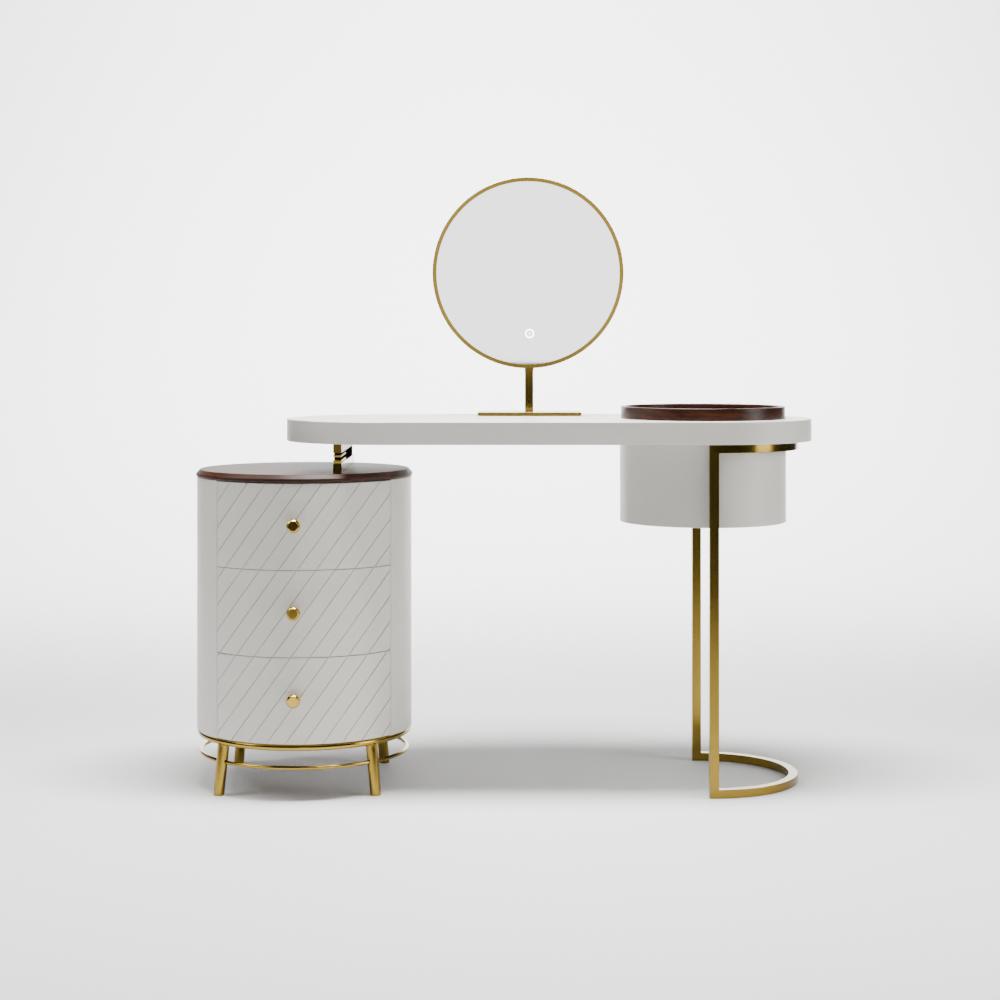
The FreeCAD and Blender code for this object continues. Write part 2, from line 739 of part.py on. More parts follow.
def build_knob(name, knob_z):
    """A cast knob: a round foot, a neck, a broad eight-sided head with a bevelled face, and its stud."""
    foot_y = middle_y - chest_radius
    stem = turned(
        f"KnobStem_{name}",
        [(0, -13), (2.4, -13), (2.4, 0), (9.5, 0), (9.5, 2), (6, 4.5), (6, 12), (0, 12)],
        chest_x, foot_y, knob_z, TO_FRONT,
    )
    neck_long, bevel = 11, 4.5
    head = turned(
        f"KnobHead_{name}",
        [
            (0, neck_long), (knob_radius - 2.5, neck_long), (knob_radius, neck_long + 3),
            (knob_radius, knob_reach - 5.5), (knob_radius - bevel, knob_reach), (0, knob_reach),
        ],
        chest_x, foot_y, knob_z, TO_FRONT,
    )
    prism = doc.addObject("Part::Prism", f"KnobSides_{name}")
    prism.Polygon = 8
    bind(prism, "Circumradius", knob_radius * 1.06)
    bind(prism, "Height", knob_reach - neck_long)
    place(prism, chest_x, foot_y - neck_long, knob_z, TO_FRONT * Rotation(Vector(0, 0, 1), 22.5))
    return group(f"Knob_{name}", stem, common(f"KnobFaceted_{name}", prism, head))


# ---- chest of drawers: brass base ----------------------------------------------------------
def build_base():
    ring_z = chest_bottom - ring_tube
    ring = torus("BaseRing", ring_radius, ring_tube, chest_x, middle_y, ring_z)
    node("base_ring", ring)
    leg_top = ring_z - 3
    span = leg_top - glide_thick
    lean = math.degrees(math.atan2((foot_spread - head_spread).value, leg_top.value))
    legs, tabs, pads, screws = [], [], [], []
    for i in range(4):
        turn = 45 + 90 * i
        reach_x, reach_y = math.cos(math.radians(turn)), math.sin(math.radians(turn))
        cone = doc.addObject("Part::Cone", f"LegCone{i}")
        bind(cone, "Radius1", leg_foot_radius)
        bind(cone, "Radius2", leg_top_radius)
        bind(cone, "Height", ring_z + 8)
        tilt = Rotation(Vector(-reach_y, reach_x, 0), -lean)
        place(cone, chest_x + foot_spread * reach_x, middle_y + foot_spread * reach_y, -2, tilt)
        slab = middle_box(
            f"LegSlab{i}", 80, 80, span,
            chest_x + foot_spread * reach_x, middle_y + foot_spread * reach_y, glide_thick,
        )
        ring_tool = torus(f"LegCope{i}", ring_radius, ring_tube, chest_x, middle_y, ring_z)
        leg = cut(f"Leg{i}", common(f"LegTrimmed{i}", cone, slab), ring_tool)
        legs.append(leg)
        pads.append(
            rod(
                f"LegGlide{i}", 8, glide_thick,
                chest_x + foot_spread * reach_x, middle_y + foot_spread * reach_y, 0,
            )
        )
        tab = box(
            f"Tab{i}", 44, 34, 3,
            chest_x + (ring_radius - 49) * reach_x + 17 * reach_y,
            middle_y + (ring_radius - 49) * reach_y - 17 * reach_x,
            chest_bottom - 3, Rotation(Vector(0, 0, 1), turn),
        )
        screw_x = chest_x + (ring_radius - 34) * reach_x
        screw_y = middle_y + (ring_radius - 34) * reach_y
        hole = rod(f"TabHole{i}", screw_hole, 3, screw_x, screw_y, chest_bottom - 3)
        tabs.append(cut(f"TabDrilled{i}", tab, hole))
        shank = rod(f"BaseScrewShank{i}", screw_radius, 15, screw_x, screw_y, chest_bottom - 3)
        head = rod(f"BaseScrewHead{i}", screw_head, 3, screw_x, screw_y, chest_bottom - 6)
        screws.append(group(f"BaseScrew{i}", shank, head))
    node("base_tabs", cut("BaseTabs", group("BaseTabsAll", *tabs), torus(
        "TabCope", ring_radius, ring_tube, chest_x, middle_y, ring_z)))
    node("base_screws", group("BaseScrews", *screws))
    node("legs", group("Legs", *legs))
    node("leg_glides", group("LegGlides", *pads))
    rods = torus("FootRingWhole", foot_ring_radius, foot_ring_tube, chest_x, middle_y, foot_ring_z)
    node("foot_ring", cut("FootRing", rods, made["legs"]))


# ---- mirror and its stand -------------------------------------------------------------------
def build_stand():
    post_y = middle_y + pivot_y
    middle_of_plate = post_y - plate_back
    pad_z = top_height
    node(
        "mirror_base_pad",
        middle_box("BasePad", plate_long - 4, plate_deep - 4, pad_thick, stand_x, middle_of_plate, pad_z),
    )
    plate = middle_box(
        "BasePlate", plate_long, plate_deep, plate_thick, stand_x, middle_of_plate, pad_z + pad_thick
    )
    plate = rounded("BasePlateEased", plate, 0.8, lambda e: e.BoundBox.ZLength < 1e-6)
    foot = top_height + pad_thick + plate_thick
    screw_hole = rod("StandHole", 3.2, plate_thick, stand_x, post_y, foot - plate_thick)
    screw_seat = rod("StandSeat", 6, 3.5, stand_x, post_y, foot - plate_thick)
    node("mirror_base_plate", cut("BasePlateDrilled", plate, screw_hole, screw_seat))
    shank = rod("StandBoltShank", 3, plate_thick + 13, stand_x, post_y, foot - plate_thick + 0.3)
    head = rod("StandBoltHead", 5.5, 3, stand_x, post_y, foot - plate_thick + 0.3)
    node("mirror_stand_bolt", group("StandBolt", shank, head))
    post = middle_box("MirrorPost", post_wide, post_deep, mirror_z - foot, stand_x, post_y, foot)
    cap = rod("PostCap", hinge_radius, post_wide, stand_x - post_wide / 2, post_y, mirror_z, ALONG_X)
    slot = middle_box("PostSlot", 9.6, post_deep + 4, 40, stand_x, post_y, mirror_z - 13)
    bore = rod("PostBore", hinge_pin, post_wide + 2, stand_x - post_wide / 2 - 1, post_y, mirror_z, ALONG_X)
    thread = rod("PostThread", 3, 14, stand_x, post_y, foot)
    node("mirror_post", cut("MirrorPostSlotted", group("MirrorPostWhole", post, cap), slot, bore, thread))
    collar_z = mirror_z - mirror_radius - 4.5
    collar = middle_box("CollarOutside", post_wide + 1.6, post_deep + 1.6, 3, stand_x, post_y, collar_z)
    inside = middle_box("CollarInside", post_wide, post_deep, 3, stand_x, post_y, collar_z)
    node("post_collar", cut("PostCollar", collar, inside))
    pin = rod("HingePin", hinge_pin, post_wide, stand_x - post_wide / 2, post_y, mirror_z, ALONG_X)
    heads = [
        rod(f"HingeHead{i}", 5, 2, stand_x + x, post_y, mirror_z, ALONG_X)
        for i, x in enumerate((-post_wide / 2 - 2, post_wide / 2))
    ]
    node("hinge_pin", group("HingePinWhole", pin, *heads))


def is_frame_rim(edge):
    """One of the mirror frame's two outside edges."""
    return edge.BoundBox.ZLength < 1e-6 and edge.BoundBox.XLength > 2 * mirror_radius.value - 1


def build_mirror():
    front = middle_y + mirror_y
    inner = mirror_radius - frame_wall
    lip = 2.0
    frame = turned(
        "MirrorFrame",
        [
            (mirror_radius - frame_lip, 0), (mirror_radius, 0), (mirror_radius, -mirror_deep),
            (inner, -mirror_deep), (inner, -lip), (mirror_radius - frame_lip, -lip),
        ],
        mirror_x, front, mirror_z, TO_FRONT,
    )
    node("mirror_frame", round_edges(frame, 0.9, is_frame_rim))
    glass_back = front + lip + glass_thick
    glass = rod("Glass", inner - 0.3, glass_thick, mirror_x, glass_back, mirror_z, TO_FRONT)
    icon_z = mirror_z - 131
    icon_x = mirror_x + 3.5
    deep = 0.4
    ring = cut(
        "IconRing",
        rod("IconOuter", 10, deep, icon_x, front + lip + deep, icon_z, TO_FRONT),
        rod("IconInner", 7, deep, icon_x, front + lip + deep, icon_z, TO_FRONT),
    )
    mark = box("IconMark", 1.8, deep, 6, icon_x - 0.9, front + lip, icon_z - 3)
    node("touch_icon", group("TouchIcon", ring, mark))
    ring_room = cut(
        "IconRoomRing",
        rod("RoomOuter", 10, deep, icon_x, front + lip + deep, icon_z, TO_FRONT),
        rod("RoomInner", 7, deep, icon_x, front + lip + deep, icon_z, TO_FRONT),
    )
    mark_room = box("IconMarkRoom", 1.8, deep, 6, icon_x - 0.9, front + lip, icon_z - 3)
    node("mirror_glass", cut("GlassEtched", glass, ring_room, mark_room))
    sensor = rod("TouchSensor", 9, 3, icon_x, glass_back + 3, icon_z, TO_FRONT)
    node("touch_sensor", sensor)
    node(
        "led_strip",
        turned(
            "LedStrip",
            [(inner - 12, 0), (inner - 0.6, 0), (inner - 0.6, 5), (inner - 12, 5)],
            mirror_x, glass_back + 5.4, mirror_z, TO_FRONT,
        ),
    )
    back = front + mirror_deep
    cover = rod("BackCover", inner - 0.2, 3, mirror_x, back, mirror_z, TO_FRONT)
    socket_x = mirror_x + 45
    socket_z = mirror_z - 165
    socket_hole = rod("SocketHole", 5.5, 5, socket_x, back + 1, socket_z, TO_FRONT)
    node("mirror_back_cover", cut("BackCoverDrilled", cover, socket_hole))
    node(
        "power_socket",
        turned(
            "PowerSocket",
            [(0, 10), (1.75, 10), (1.75, 0), (7.5, 0), (7.5, 1.4), (5.4, 1.4), (5.4, 12), (0, 12)],
            socket_x, back + 1.5, socket_z, TO_FRONT,
        ),
    )
    node("led_driver", middle_box("LedDriver", 62, 10, 34, mirror_x - 45, back - 8.5, mirror_z - 178))
    lug_y = back + (pivot_y - mirror_y - mirror_deep)
    flange = rod("LugFlange", 22, 3, stand_x, back + 3, mirror_z, TO_FRONT)
    arm = middle_box("LugArm", 9, 18, hinge_radius * 2, stand_x, back + 11, mirror_z - hinge_radius)
    eye = rod("LugEye", hinge_radius, 9, stand_x - 4.5, lug_y, mirror_z, ALONG_X)
    eye_bore = rod("LugBore", hinge_pin + running, 11, stand_x - 5.5, lug_y, mirror_z, ALONG_X)
    node("hinge_lug", cut("HingeLug", group("HingeLugWhole", flange, arm, eye), eye_bore))
    screws = []
    for i in range(4):
        angle = math.radians(45 + 90 * i)
        x = stand_x + 16 * math.cos(angle)
        z = mirror_z + 16 * math.sin(angle)
        screws.append(rod(f"LugScrew{i}", 2.6, 1.2, x, back + 4.2, z, TO_FRONT))
    node("hinge_lug_screws", group("LugScrews", *screws))


build_top()
build_frame()
build_drum()
build_tray()
build_bracket()
build_carcass()
for drawer, spans, height in zip(("bottom", "middle", "top"), front_spans(), runner_heights()):
    build_drawer(drawer, spans, height)
build_base()
build_stand()
build_mirror()
doc.recompute()

failed = [item.Name for item in doc.Objects if {"Invalid", "Error"} & set(item.State)]
if failed:
    raise SystemExit(f"these objects failed: {failed}")
os.makedirs("parts", exist_ok=True)
for name, item in made.items():
    shape = item.Shape
    if shape.isNull() or not shape.isValid() or not shape.Solids:
        raise SystemExit(f"{name} is not a valid solid")
for name, item in made.items():
    item.Shape.exportStep(os.path.join("parts", name + ".step"))
    size = item.Shape.BoundBox
    print(f"{name:28s} {len(item.Shape.Solids)} solids, {item.Shape.Volume / 1000:.1f} cm3, "
          f"{size.XMin:.1f} {size.YMin:.1f} {size.ZMin:.1f} to {size.XMax:.1f} {size.YMax:.1f} {size.ZMax:.1f}")
print(len(made), "nodes")
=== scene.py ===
import math

import bmesh
import bpy
import numpy as np
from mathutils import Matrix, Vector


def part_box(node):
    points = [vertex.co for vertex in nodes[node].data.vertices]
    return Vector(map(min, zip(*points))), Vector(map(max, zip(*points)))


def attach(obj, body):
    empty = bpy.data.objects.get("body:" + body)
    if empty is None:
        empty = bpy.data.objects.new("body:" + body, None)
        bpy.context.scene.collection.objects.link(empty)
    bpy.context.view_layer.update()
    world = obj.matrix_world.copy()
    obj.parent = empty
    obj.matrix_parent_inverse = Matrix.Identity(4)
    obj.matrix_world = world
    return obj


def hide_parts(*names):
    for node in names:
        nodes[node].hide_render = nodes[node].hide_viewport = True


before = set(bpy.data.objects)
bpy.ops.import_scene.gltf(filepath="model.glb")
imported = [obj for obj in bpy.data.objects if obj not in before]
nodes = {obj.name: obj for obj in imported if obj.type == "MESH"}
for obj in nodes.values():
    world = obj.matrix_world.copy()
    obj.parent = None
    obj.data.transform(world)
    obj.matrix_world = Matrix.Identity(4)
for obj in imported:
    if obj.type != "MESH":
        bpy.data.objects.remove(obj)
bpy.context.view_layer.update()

# ---- camera -------------------------------------------------------------------------------
# The table is seen level from the front, a little above its surface, through a long lens.
# The lens is shifted down, so upright edges stay upright.
camera = bpy.data.objects.new("camera", bpy.data.cameras.new("camera"))
camera.data.lens = 72.97
camera.data.sensor_width = 36
camera.data.shift_y = -0.1596
camera.location = (-0.0075, -4.210, 0.9117)
camera.rotation_euler = (math.radians(90), 0, 0)
bpy.context.scene.collection.objects.link(camera)
bpy.context.scene.camera = camera

# ---- studio -------------------------------------------------------------------------------
# A pale paper sweep: floor, a long curve and a wall behind, lit by its own softbox. One softbox hangs
# over the table and one stands at each side, and a card far in front fills the mirror. The room is dim.
SWEEP_HALF, SWEEP_FRONT, SWEEP_CURVE, SWEEP_BEND, SWEEP_TOP = 3.6, -2.7, 3.4, 2.4, 3.2


def sheet_from_grid(name, grid, loop=False):
    """A smooth mesh from an array of points (rows u, columns v, xyz), whose last column may join up with
    its first in a loop. Faces run row to row and column to column, and look along du x dv."""
    rows, columns = grid.shape[:2]
    index = np.arange(rows * columns).reshape(rows, columns)
    if loop:
        index = np.hstack([index, index[:, :1]])
    quads = np.stack([index[:-1, :-1], index[1:, :-1], index[1:, 1:], index[:-1, 1:]], -1).reshape(-1, 4)
    mesh = bpy.data.meshes.new(name)
    mesh.from_pydata(grid.reshape(-1, 3).tolist(), [], quads.tolist())
    mesh.polygons.foreach_set("use_smooth", np.full(len(quads), True))
    mesh.update()
    piece = bpy.data.objects.new(name, mesh)
    bpy.context.scene.collection.objects.link(piece)
    return piece


arc = math.pi / 2 * np.linspace(0, 1, 60)
wall_y = SWEEP_CURVE + SWEEP_BEND
sweep_y = np.concatenate([[SWEEP_FRONT], SWEEP_CURVE + SWEEP_BEND * np.sin(arc), [wall_y]])
sweep_z = np.concatenate([[0.0], SWEEP_BEND * (1 - np.cos(arc)), [SWEEP_TOP]])
sweep_x = np.linspace(-SWEEP_HALF, SWEEP_HALF, 5)
sweep_grid = np.stack(np.broadcast_arrays(sweep_x[:, None], sweep_y, sweep_z), -1)
sweep = sheet_from_grid("paper_sweep", sweep_grid)


class Finish:
    """A material under construction: its shader, and short ways to add texture to it."""

    def __init__(self, name, colour, roughness, metallic=0.0):
        self.material = bpy.data.materials.new(name)
        self.material.use_nodes = True
        self.tree = self.material.node_tree
        self.shader = self.tree.nodes["Principled BSDF"]
        self.shader.inputs["Base Color"].default_value = (*colour, 1)
        self.shader.inputs["Roughness"].default_value = roughness
        self.shader.inputs["Metallic"].default_value = metallic
        self.place = self.tree.nodes.new("ShaderNodeTexCoord").outputs["Object"]

    def add(self, kind, inputs=(), **settings):
        """Adds a node. inputs maps a socket's name or number to a value or to another node's output."""
        node = self.tree.nodes.new(kind)
        for key, value in settings.items():
            setattr(node, key, value)
        for key, value in dict(inputs).items():
            if isinstance(value, bpy.types.NodeSocket):
                self.tree.links.new(value, node.inputs[key])
            else:
                node.inputs[key].default_value = value
        return node

    def stretched(self, scale, turn=(0, 0, 0), shift=(0, 0, 0)):
        """The object's coordinates, shifted, turned and scaled along each axis, in cycles per metre."""
        at = {"Vector": self.place, "Scale": scale, "Rotation": turn, "Location": shift}
        return self.add("ShaderNodeMapping", at).outputs["Vector"]

    def noise(self, scale, detail=3.0, rough=0.5, warp=0.0, vector=None):
        """Fractal noise from 0 to 1, in cycles per metre on the object or on the given coordinates."""
        at = {"Vector": vector or self.place, "Scale": scale, "Detail": detail, "Roughness": rough,
              "Distortion": warp}
        return self.add("ShaderNodeTexNoise", at).outputs["Fac"]

    def ramp(self, factor, *stops):
        """Colours blended along the factor. Each stop is a place and a colour."""
        node = self.add("ShaderNodeValToRGB", {"Fac": factor})
        while len(node.color_ramp.elements) < len(stops):
            node.color_ramp.elements.new(0.5)
        for element, (place, colour) in zip(node.color_ramp.elements, stops):
            element.position = place
            element.color = (*colour, 1)
        return node.outputs["Color"]

    def span(self, factor, low, high):
        """The factor, 0 to 1, spread from low to high."""
        at = {"Value": factor, "To Min": low, "To Max": high}
        return self.add("ShaderNodeMapRange", at).outputs["Result"]

    def mix(self, factor, first, second, blend="MIX"):
        """Blends two colours."""
        node = self.add("ShaderNodeMix", data_type="RGBA", blend_type=blend)
        for socket, value in ((0, factor), (6, first), (7, second)):
            if isinstance(value, bpy.types.NodeSocket):
                self.tree.links.new(value, node.inputs[socket])
            else:
                node.inputs[socket].default_value = value if socket == 0 else (*value, 1)
        return node.outputs[2]

    def to(self, socket, output):
        self.tree.links.new(output, self.shader.inputs[socket])

    def bump(self, height, distance, strength=1.0):
        """Lets a height, 0 to 1, raise the surface by that distance in metres."""
        at = {"Height": height, "Distance": distance, "Strength": strength}
        self.to("Normal", self.add("ShaderNodeBump", at).outputs["Normal"])

    def dress(self, *pieces):
        """Puts the finish on pieces, or on CAD nodes given by name."""
        for piece in pieces:
            piece = nodes[piece] if isinstance(piece, str) else piece
            piece.data.materials.clear()
            piece.data.materials.append(self.material)


paper = Finish("pale_paper", (0.80, 0.80, 0.795), 0.75)
paper.bump(paper.noise(160, 4), 0.0004, 0.3)
paper.dress(sweep)


def softbox(name, place, size, watts, aim, spread=180):
    """A rectangular light at place, of a size across and along, that faces the point aim and lights a cone
    of that spread in degrees."""
    light = bpy.data.objects.new(name, bpy.data.lights.new(name, "AREA"))
    light.data.shape = "RECTANGLE"
    light.data.size, light.data.size_y = size
    light.data.energy = watts
    light.data.spread = math.radians(spread)
    light.location = place
    line = np.array(aim, float) - np.array(place, float)
    yaw = math.atan2(line[0], -line[1])
    light.rotation_euler = (math.atan2(math.hypot(line[0], line[1]), -line[2]), 0, math.pi + yaw)
    light.visible_camera = False
    bpy.context.scene.collection.objects.link(light)
    return light


softbox("softbox_above", place=(0.05, -0.30, 2.9), size=(1.5, 0.6), watts=262, aim=(0.05, -0.30, 0))
softbox("softbox_on_the_wall", place=(0, 2.0, 4.4), size=(6.0, 1.0), watts=820, aim=(0, 5.2, 1.0),
        spread=120)
softbox("card_for_the_mirror", place=(0.16, -7.0, 1.345), size=(1.35, 1.12), watts=13, aim=(0.16, 0, 1.345))
softbox("softbox_at_the_right", place=(2.4, -0.75, 1.3), size=(0.9, 1.6), watts=39, aim=(0.4, 0, 0.6))
softbox("softbox_at_the_left", place=(-2.4, -0.5, 2.6), size=(1.2, 1.2), watts=62, aim=(-0.4, 0, 0.5))

room = bpy.data.worlds.new("room")
bpy.context.scene.world = room
room.use_nodes = True
room_nodes, room_links = room.node_tree.nodes, room.node_tree.links
direction = room_nodes.new("ShaderNodeTexCoord").outputs["Generated"]
height = room_nodes.new("ShaderNodeSeparateXYZ")
shades = room_nodes.new("ShaderNodeValToRGB")
dimmer = room_nodes.new("ShaderNodeMapRange")
background = room_nodes["Background"]
for element, place, grey in zip(shades.color_ramp.elements, (0.0, 1.0), (0.86, 0.80)):
    element.position = place
    element.color = (grey, grey, grey, 1)
for socket, value in (("From Min", 0.0), ("From Max", 0.3), ("To Min", 0.07), ("To Max", 0.04)):
    dimmer.inputs[socket].default_value = value
room_links.new(direction, height.inputs[0])
room_links.new(height.outputs["Z"], shades.inputs["Fac"])
room_links.new(height.outputs["Z"], dimmer.inputs["Value"])
room_links.new(shades.outputs["Color"], background.inputs["Color"])
room_links.new(dimmer.outputs["Result"], background.inputs["Strength"])

# ---- table top, drum and the chest's body: warm grey lacquer --------------------------------
# Boards and bent ply, sprayed with satin lacquer and rubbed down. The spray leaves a fine orange peel
# and slow drifts of tone. The drum hangs under the top's right end, over the well cut in it.
lacquer = Finish("grey_lacquer", (0.56, 0.545, 0.515), 0.42)
lacquer.shader.inputs["Coat Weight"].default_value = 0.15
lacquer.shader.inputs["Coat Roughness"].default_value = 0.3
lacquer.to("Base Color", lacquer.ramp(lacquer.noise(3.5, 3, 0.6), (0.3, (0.55, 0.534, 0.490)),
                                      (0.7, (0.575, 0.558, 0.512))))
lacquer.to("Roughness", lacquer.span(lacquer.noise(26, 4, 0.6), 0.38, 0.47))
lacquer.bump(lacquer.noise(700, 2, 0.5), 0.00006, 0.5)
lacquer.dress("table_top", "drum_wall", "drum_floor", "chest_ceiling", "chest_shell")

# ---- drawer fronts --------------------------------------------------------------------------
# Bent boards that carry on the chest's round wall, each with V grooves cut slanting across it. The
# grooves carry on from front to front. The edges are eased, and the faces sprayed like the rest.
MM = 0.001
GROOVE_WIDE, GROOVE_DEEP, GROOVE_STEP = 1.9 * MM, 2.3 * MM, 37.2 * MM
GROOVE_LEAN = 1 / 1.39
GROOVE_START = 11.4 * MM
FRONT_EASE = 1.2 * MM
FRONT_GAP = 0.6 * MM
RING_INSET = 1 * MM
chest_low, chest_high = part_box("chest_floor")
chest_x, chest_y = (chest_low.x + chest_high.x) / 2, (chest_low.y + chest_high.y) / 2
chest_inner = (chest_high.x - chest_low.x) / 2
chest_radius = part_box("base_ring")[1].x - chest_x + RING_INSET
front_inner = chest_inner + FRONT_GAP


def eased(distance, radius):
    """How far a rounded edge falls away at a distance from it: the sagitta of a quarter circle."""
    near = np.clip(distance / radius, 0, 1)
    return radius * (1 - np.sqrt(1 - (1 - near) ** 2))


def front_grid(low, high, left, right, outer, inner):
    """A bent board as a grid that goes round its whole section. Rows follow the height. Across a row, x
    runs from left to right over the outside, then back over the inside. y follows the circle, less the
    depth of the grooves, a V about each line x = start + lean z - k step, and less the eased edges."""
    edge = FRONT_EASE * np.array([0, 0.15, 0.4, 0.7, 1.0])
    z = np.concatenate([low + edge, np.linspace(low, high, 44)[1:-1], high - edge[::-1]])
    middle = GROOVE_START + GROOVE_LEAN * z[:, None]
    steps = np.arange(-4, 18)
    shares = np.array([-0.5, 0, 0.5]) * GROOVE_WIDE
    between = np.linspace(0, 1, 7)[1:-1] * GROOVE_STEP
    offsets = (-steps[:, None] * GROOVE_STEP + np.concatenate([shares, between])[None, :]).ravel()
    x = np.clip(middle + offsets[None, :], left, right)
    sides = np.concatenate([left + edge, right - edge])
    x = np.sort(np.hstack([x, np.broadcast_to(sides, (z.size, sides.size))]), axis=1)
    phase = (x - middle) / GROOVE_STEP
    nearest = np.abs(phase - np.round(phase)) * GROOVE_STEP
    depth = GROOVE_DEEP * np.clip(1 - nearest / (GROOVE_WIDE / 2), 0, 1)
    border = np.minimum(np.minimum(x - left, right - x), np.minimum(z - low, high - z)[:, None])
    radius = outer - np.maximum(depth, eased(border, FRONT_EASE))
    outside = np.stack([x, -np.sqrt(radius**2 - x**2), np.broadcast_to(z[:, None], x.shape)], -1)
    back = x[:, ::-1] * inner / outer
    inside = np.stack([back, -np.sqrt(inner**2 - back**2), np.broadcast_to(z[:, None], x.shape)], -1)
    return np.concatenate([outside, inside], axis=1)


def closed_tube(name, grid):
    """A grid whose columns run round in a loop, made a closed skin: the first and last rows are capped,
    points that fall together are merged, and the faces are turned outwards."""
    return tidy_skin(sheet_from_grid(name, grid, loop=True), cap=True)


def tidy_skin(piece, cap=False, sharp=35):
    """Merges doubled points, drops empty faces, fills open rims and turns faces outwards. Edges that turn
    by more than the sharp angle, in degrees, are shaded as edges."""
    shape = bmesh.new()
    shape.from_mesh(piece.data)
    bmesh.ops.remove_doubles(shape, verts=shape.verts, dist=2e-6)
    bmesh.ops.dissolve_degenerate(shape, edges=shape.edges, dist=2e-6)
    if cap:
        rims = [edge for edge in shape.edges if edge.is_boundary]
        bmesh.ops.holes_fill(shape, edges=rims, sides=0)
    bmesh.ops.recalc_face_normals(shape, faces=shape.faces)
    for face in shape.faces:
        face.smooth = True
    for edge in shape.edges:
        edge.smooth = len(edge.link_faces) == 2 and edge.calc_face_angle(0) < math.radians(sharp)
    shape.to_mesh(piece.data)
    shape.free()
    piece.data.update()
    return piece


for drawer in ("bottom", "middle", "top"):
    low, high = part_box(f"{drawer}_drawer_front")
    left, right = low.x - chest_x, high.x - chest_x
    grid = front_grid(low.z, high.z, left, right, chest_radius, front_inner)
    front = closed_tube(f"{drawer}_grooved_front", grid + np.array([chest_x, chest_y, 0]))
    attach(front, f"{drawer}_drawer")
    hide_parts(f"{drawer}_drawer_front")
    lacquer.dress(front)

# ---- walnut: the chest's top and floor, and the tray over the drum ----------------------------
# Solid dark walnut, turned, stained and finished with a clear lacquer, glossier on the tray. The grain
# runs from side to side, in long streaks of nearly black and red-brown, with fine open pores along it.


def stained_walnut(name, smooth, rough):
    """Walnut whose roughness runs from smooth to rough along its pores. Figure, streaks and pores are
    three noises drawn out along x, each finer than the last."""
    walnut = Finish(name, (0.10, 0.035, 0.018), rough)
    walnut.shader.inputs["Specular IOR Level"].default_value = 0.2
    figure = walnut.noise(1.0, 5, 0.6, 1.2, walnut.stretched((2.2, 16, 60)))
    streaks = walnut.noise(1.0, 6, 0.65, 0.4, walnut.stretched((9, 130, 260)))
    pores = walnut.noise(1.0, 2, 0.5, 0.0, walnut.stretched((60, 1500, 1500)))
    tone = walnut.ramp(figure, (0.25, (0.012, 0.0045, 0.0024)), (0.45, (0.028, 0.0085, 0.0036)),
                       (0.6, (0.050, 0.0145, 0.0056)), (0.8, (0.095, 0.031, 0.0115)))
    lines = walnut.ramp(streaks, (0.32, (0.35, 0.3, 0.28)), (0.62, (1.0, 1.0, 1.0)))
    walnut.to("Base Color", walnut.mix(0.8, tone, lines, "MULTIPLY"))
    walnut.to("Roughness", walnut.span(pores, smooth, rough))
    walnut.bump(pores, 0.00004, 0.5)
    return walnut


# Painted shade: the chest's floor also takes the dark walnut, a dark underside chosen so it throws less
# light down and deepens the shadow under the chest.
stained_walnut("satin_walnut", 0.38, 0.54).dress("walnut_top", "chest_floor")
stained_walnut("glossy_walnut", 0.24, 0.38).dress("tray_rim", "tray_floor")

# ---- brushed brass: hoops, posts, bracket, chest base, mirror stand ---------------------------
# Square bar and round rod, plated in satin brass and brushed along its length, with a soft dark drift
# where it has been handled. The grain is fine lines that the brush left.
BRASS_DEEP, BRASS_LIGHT = (0.185, 0.121, 0.021), (0.25, 0.169, 0.033)


def brushed_brass(name, scale, roughness=0.18, tone=1.0):
    """Brass with brush lines: noise drawn out along one axis. scale is in cycles per metre along each axis,
    and tone makes the brass lighter or darker; a tone other than 1 paints light or shade into a copy of the
    brass."""
    deep, light = np.array(BRASS_DEEP) * tone, np.array(BRASS_LIGHT) * tone
    brass = Finish(name, light, roughness, 1.0)
    lines = brass.noise(1.0, 4, 0.6, 0.0, brass.stretched(scale))
    drift = brass.noise(7, 3, 0.6)
    brass.to("Base Color", brass.mix(brass.span(drift, 0.1, 0.9), deep, light))
    brass.to("Roughness", brass.span(lines, roughness - 0.05, roughness + 0.06))
    brass.bump(lines, 0.00002, 0.3)
    return brass


upright_brass = brushed_brass("brass_brushed_upright", (900, 900, 14))
# Painted light: the ring's brass is painted half again lighter and the legs' a little lighter, as lit
# copies of the same brass.
ring_brass = brushed_brass("brass_ring_painted_lighter", (260, 260, 900), 0.16, 1.55)
leg_brass = brushed_brass("brass_leg_painted_lighter", (900, 900, 14), 0.10, 1.15)
ring_brass.dress("base_ring", "foot_ring", "base_tabs")
leg_brass.dress("legs")


def bar_section(wide, tall, radius, turns=5):
    """The outline of a bar with rounded corners: four quarter circles joined by its flats."""
    quarter = np.linspace(0, math.pi / 2, turns)
    corners = []
    for k, (sx, sy) in enumerate(((1, 1), (-1, 1), (-1, -1), (1, -1))):
        angle = quarter + k * math.pi / 2
        across = sx * (wide / 2 - radius) + radius * np.cos(angle)
        upward = sy * (tall / 2 - radius) + radius * np.sin(angle)
        corners.append(np.stack([across, upward], -1))
    return np.concatenate(corners)


def carried(section, path, side, up):
    """A section carried along a path: point + a side + b up, for each section point (a, b). side and up
    hold one vector for each point of the path; so may the section hold one outline for each."""
    across = section[..., 0, None] * side[:, None, :]
    return path[:, None, :] + across + section[..., 1, None] * up[:, None, :]


EDGE_EASE, WELD_EASE = 1.0 * MM, 0.1 * MM
BAR_END_EASE, WELD_RUN = 0.8 * MM, 6 * MM
EASE_STEPS = np.array([0, 0.1, 0.3, 0.6, 1.0])


